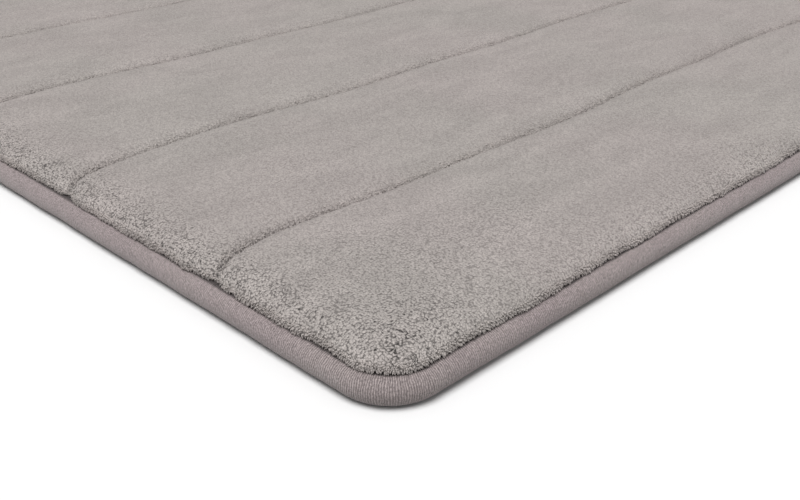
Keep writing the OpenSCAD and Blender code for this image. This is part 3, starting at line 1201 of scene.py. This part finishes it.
def tape_finish():
    """Ribbed, brushed knit in a darker and warmer taupe."""
    material, tree = new_finish(
        "knitted_tape", Roughness=0.9, Specular_IOR_Level=0.2, Sheen_Weight=0.3, Sheen_Roughness=0.4,
        Sheen_Tint=(1, 0.96, 0.94, 1),
    )
    place = surface_coordinates(tree)
    rib = tape_ribs(tree, place)
    fuzz = noise(tree, place, KNIT_FUZZ, 3.0, Roughness=0.75)
    patches = noise(tree, place, TAPE_PATCH, 2.0)
    above_floor = add(tree, "SeparateXYZ", output=2, Vector=place)
    colour = blend_colours(tree, spread(tree, patches, 0.3, 0.7), *TAPE_TAUPES)
    # Painted light: shade under the pile's lip, a contact shade near the floor, and a side painted darker
    # low and lighter high.
    light = product(
        tree,
        spread(tree, rib, 0.0, 1.0, 0.68, 1.2),
        spread(tree, fuzz, 0.25, 0.75, 0.55, 1.45),
        spread(tree, stored(tree, "seam"), 0.0, 1.0, 1.0, 0.25),
        spread(tree, above_floor, 0.2 * MM, 1.0 * MM, 0.6, 1.0),
        spread(tree, above_floor, 1.0 * MM, 8.0 * MM, 0.64, 1.05),
    )
    height = maths(tree, "ADD", rib, maths(tree, "MULTIPLY", fuzz, 0.8))
    connect(tree, scale_colour(tree, colour, light), height, 0.2 * MM, 0.8)
    return material

# %% Wearing the tape
SEAM_SHADE = 0.8 * MM
STRETCH_REACH = 14 * MM

tape_x, tape_y, tape_z = piece_points(tape).T
# Painted shade on the tape where it runs under the pile's lip.
under_pile = ramp(edge_distance(tape_x, tape_y, 0) - LIP_INSET + SEAM_SHADE, SEAM_SHADE)
store(tape, "seam", under_pile * (tape_z > edge_height / 2))
off_arc = np.clip(corner_distance(tape_x, tape_y) - corner_radius, 0, None)
store(tape, "stretched", np.exp(-off_arc / STRETCH_REACH))
wear(tape, tape_finish())

# %% [markdown]
# ### Foam, backing, rubber and thread
#
# Foam is a pale yellow sponge of tiny round cells, whose pits get painted shade. The backing is a close
# knit under a thin coat, so it has a fine criss-cross of threads and a slight gloss. The dots are soft
# rubber, and a thread is two plies twisted together.

# %% Foam finish
FOAM_CELL = 0.6 * MM
FOAM_YELLOWS = (0.78, 0.72, 0.52, 1), (0.70, 0.63, 0.42, 1)
PORE_SHADE = (0.45, 0.38, 0.22, 1)


def foam_finish():
    """Open-cell memory foam."""
    material, tree = new_finish("memory_foam", Roughness=0.9, Subsurface_Weight=0.1)
    place = surface_coordinates(tree)
    cells = add(tree, "TexVoronoi", Vector=place, Scale=1 / FOAM_CELL)
    tone = add(tree, "TexNoise", Vector=place, Scale=20.0, Detail=2.0)
    colour = blend_colours(tree, spread(tree, tone, 0.3, 0.7), *FOAM_YELLOWS)
    # Painted shade darkens the pits of the cells.
    colour = blend_colours(tree, spread(tree, cells, 0.1, 0.35, 0.5, 0.0), colour, PORE_SHADE)
    connect(tree, colour, cells, 0.3 * MM, 0.6)
    return material

# %% Backing finish
LENGTHWISE_KNIT, CROSSWISE_KNIT = 0.7 * MM, 0.9 * MM
BACKING_TAUPES = (0.19, 0.172, 0.163, 1), (0.225, 0.205, 0.193, 1)
KNIT_SHADE = (0.10, 0.09, 0.085, 1)


def backing_finish():
    """Dark taupe knit with a thin rubbery coat."""
    material, tree = new_finish(
        "coated_backing", Roughness=0.6, Specular_IOR_Level=0.35, Coat_Weight=0.1, Coat_Roughness=0.5,
    )
    place = surface_coordinates(tree)
    knit = product(tree, stripes(tree, place, LENGTHWISE_KNIT, "Y", 0.6),
                   stripes(tree, place, CROSSWISE_KNIT, "X", 0.6))
    tone = add(tree, "TexNoise", Vector=place, Scale=12.0, Detail=3.0)
    colour = blend_colours(tree, spread(tree, tone, 0.3, 0.7), *BACKING_TAUPES)
    colour = blend_colours(tree, spread(tree, knit, 0.0, 0.8, 0.45, 0.0), colour, KNIT_SHADE)
    connect(tree, colour, knit, 0.15 * MM, 0.6)
    return material

# %% Rubber finish
DUST = 1.2 * MM
RUBBER_GREYS = (0.27, 0.255, 0.245, 1), (0.34, 0.325, 0.31, 1)


def rubber_finish():
    """Soft printed rubber, slightly dusty on its tips."""
    material, tree = new_finish("grip_rubber", Specular_IOR_Level=0.4)
    dust = noise(tree, surface_coordinates(tree), DUST, 3.0)
    colour = blend_colours(tree, spread(tree, dust, 0.35, 0.7), *RUBBER_GREYS)
    roughness = spread(tree, dust, 0.3, 0.7, 0.42, 0.62)
    tree.links.new(roughness, tree.nodes["Principled BSDF"].inputs["Roughness"])
    connect(tree, colour, dust, 0.05 * MM, 0.4)
    return material

# %% Thread finish
PLY = 0.5 * MM
THREAD_BROWNS = (0.15, 0.13, 0.12, 1), (0.26, 0.225, 0.215, 1)


def thread_finish():
    """Two-ply polyester thread."""
    material, tree = new_finish("sewing_thread", Roughness=0.6, Sheen_Weight=0.2, Sheen_Roughness=0.4)
    plies = stripes(tree, surface_coordinates(tree), PLY, "DIAGONAL", 0.5)
    colour = blend_colours(tree, spread(tree, plies, 0.0, 1.0), *THREAD_BROWNS)
    connect(tree, colour, plies, 0.08 * MM, 0.6)
    return material

# %% Wearing the rest
thread_material = thread_finish()
for thread in threads:
    wear(thread, thread_material)
wear(foam, foam_finish())
wear(backing, backing_finish())
wear(dots, rubber_finish())

# %% [markdown]
# ## Floor and light
#
# The mat lies on a plain white floor. An even pale sky fills the shadows, and one wide light from above
# and to the left gives the shapes their shading and a faint shadow on the right. A sun lamp with a wide
# angle was chosen over an area lamp, because its light is the same everywhere, so the floor stays
# evenly white from every side.

# %% Stage
FLOOR_REACH = 40.0
FLOOR_WHITE = (0.86, 0.86, 0.86, 1)
KEY_TOWARDS = Vector((-0.65, -0.3, 2.05))
KEY_WIDTH = math.radians(38)
KEY_STRENGTH = 2.75
SKY_STRENGTH = 0.38


def make_floor():
    """A wide white floor at the mat's lowest point, which isn't part of the object."""
    corners = np.array([(-1, -1, 0), (1, -1, 0), (1, 1, 0), (-1, 1, 0)]) * FLOOR_REACH + (0, 0, cad_low.z)
    floor = build_mesh("floor", corners, np.array([[0, 1, 2, 3]]))
    material, _ = new_finish("white_floor", Base_Color=FLOOR_WHITE, Roughness=0.9)
    wear(floor, material)


def add_key_light():
    """One wide, far light. The wider the angle that it fills, the softer its shadows."""
    light = bpy.data.objects.new("soft_key", bpy.data.lights.new("soft_key", "SUN"))
    bpy.context.scene.collection.objects.link(light)
    light.data.angle = KEY_WIDTH
    light.data.energy = KEY_STRENGTH
    light.rotation_euler = (-KEY_TOWARDS).to_track_quat("-Z", "Y").to_euler()


def add_sky():
    """An even white sky."""
    world = bpy.data.worlds.new("bright_sky")
    world.use_nodes = True
    background = world.node_tree.nodes["Background"]
    background.inputs["Color"].default_value = (1, 1, 1, 1)
    background.inputs["Strength"].default_value = SKY_STRENGTH
    bpy.context.scene.world = world


make_floor()
add_key_light()
add_sky()
bpy.context.scene.view_settings.view_transform = "Standard"

# %% Size and finish
print("design", [round(v, 4) for v in cad_high - cad_low])
